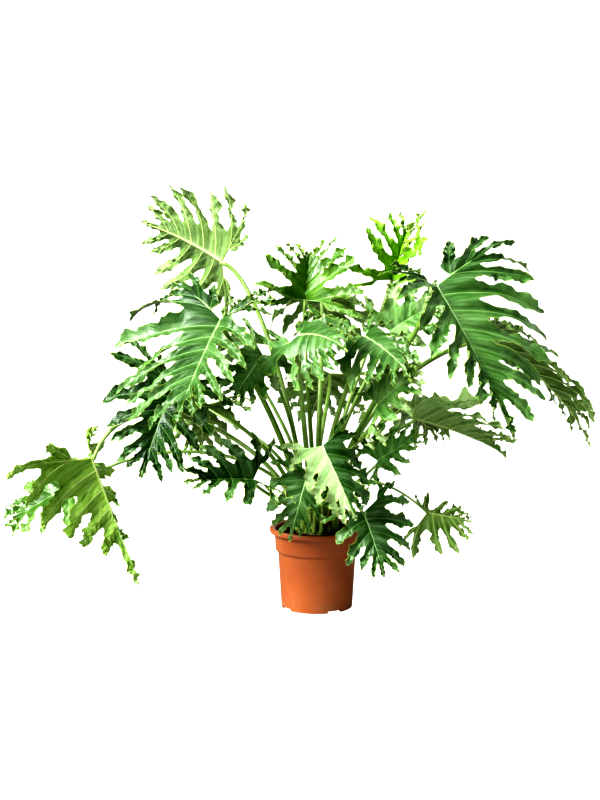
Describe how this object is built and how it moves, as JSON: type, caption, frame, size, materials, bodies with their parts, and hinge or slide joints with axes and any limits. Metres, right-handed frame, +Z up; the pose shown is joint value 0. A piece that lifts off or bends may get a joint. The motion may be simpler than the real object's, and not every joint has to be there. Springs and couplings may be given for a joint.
{
  "type": "potted plant",
  "caption": "Philodendron selloum with long-stalked, deeply cut and waved leaves arching from a crown in a round terracotta-coloured plastic nursery pot filled with soil.",
  "frame": {"origin": "middle of the flat pad under the pot, on the plane that the pot stands on", "axes": "+Z up; +X to the right as seen from the front, along the longest side; +Y to the back, so the front looks along -Y"},
  "size_m": [1.5497, 0.8621, 1.0629],
  "materials": {
    "pot": "matte moulded terracotta-coloured plastic",
    "soil": null,
    "crown": "rough short stem with leaf scars and dry sheaths",
    "leaf": null,
    "stalk": "smooth satin light green stalk"
  },
  "bodies": {
    "root": {"pot": "pot", "soil": "soil", "crown": "crown", "blade_01": "leaf", "stalk_01": "stalk", "blade_02": "leaf", "stalk_02": "stalk", "blade_03": "leaf", "stalk_03": "stalk", "blade_04": "leaf", "stalk_04": "stalk", "blade_05": "leaf", "stalk_05": "stalk", "blade_06": "leaf", "stalk_06": "stalk", "blade_07": "leaf", "stalk_07": "stalk", "blade_08": "leaf", "stalk_08": "stalk", "blade_09": "leaf", "stalk_09": "stalk", "blade_10": "leaf", "stalk_10": "stalk", "blade_11": "leaf", "stalk_11": "stalk", "blade_12": "leaf", "stalk_12": "stalk", "blade_13": "leaf", "stalk_13": "stalk", "blade_14": "leaf", "stalk_14": "stalk", "blade_15": "leaf", "stalk_15": "stalk", "blade_16": "leaf", "stalk_16": "stalk", "blade_17": "leaf", "stalk_17": "stalk", "blade_18": "leaf", "stalk_18": "stalk", "blade_19": "leaf", "stalk_19": "stalk", "blade_20": "leaf", "stalk_20": "stalk", "blade_21": "leaf", "stalk_21": "stalk", "blade_22": "leaf", "stalk_22": "stalk", "blade_23": "leaf", "stalk_23": "stalk", "blade_24": "leaf", "stalk_24": "stalk", "blade_25": "leaf", "stalk_25": "stalk", "blade_26": "leaf", "stalk_26": "stalk"}
  },
  "joints": []
}
